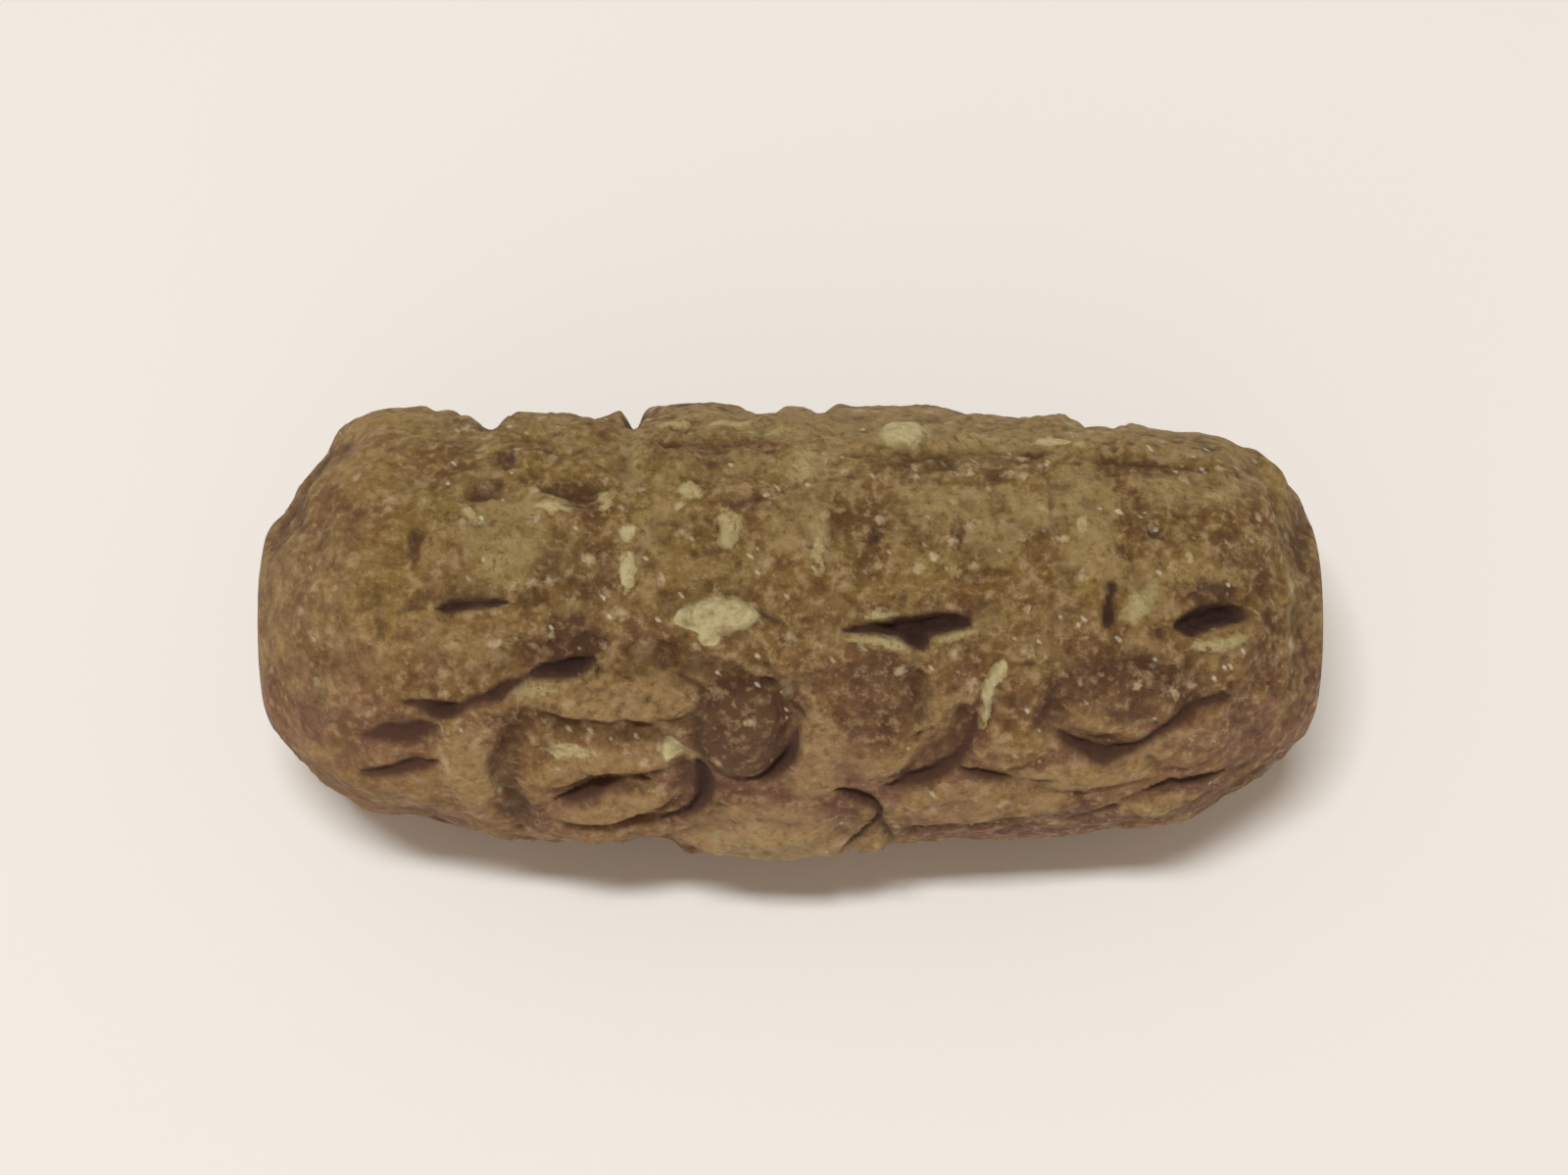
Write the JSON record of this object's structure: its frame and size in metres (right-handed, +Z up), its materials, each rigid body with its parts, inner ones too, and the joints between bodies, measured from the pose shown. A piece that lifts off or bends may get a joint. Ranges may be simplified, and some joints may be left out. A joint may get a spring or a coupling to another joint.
{
  "type": "cylinder seal",
  "caption": "Slim barrel-shaped cylinder seal of coarse fired clay, carved all round, with rounded ends and a stringing hole along its length.",
  "frame": {"origin": "middle of the small flat spot on the underside, straight below the middle of the stringing hole", "axes": "+X along the seal's long axis, +Z up, -Y towards the carved side that shows best"},
  "size_m": [0.048, 0.0212, 0.0199],
  "materials": {
    "fired_clay": "unglazed, rough, brown fired clay with pale grains, tiny mica glints and dark dirt in the cuts"
  },
  "bodies": {
    "root": {"seal": "fired_clay"}
  },
  "joints": []
}
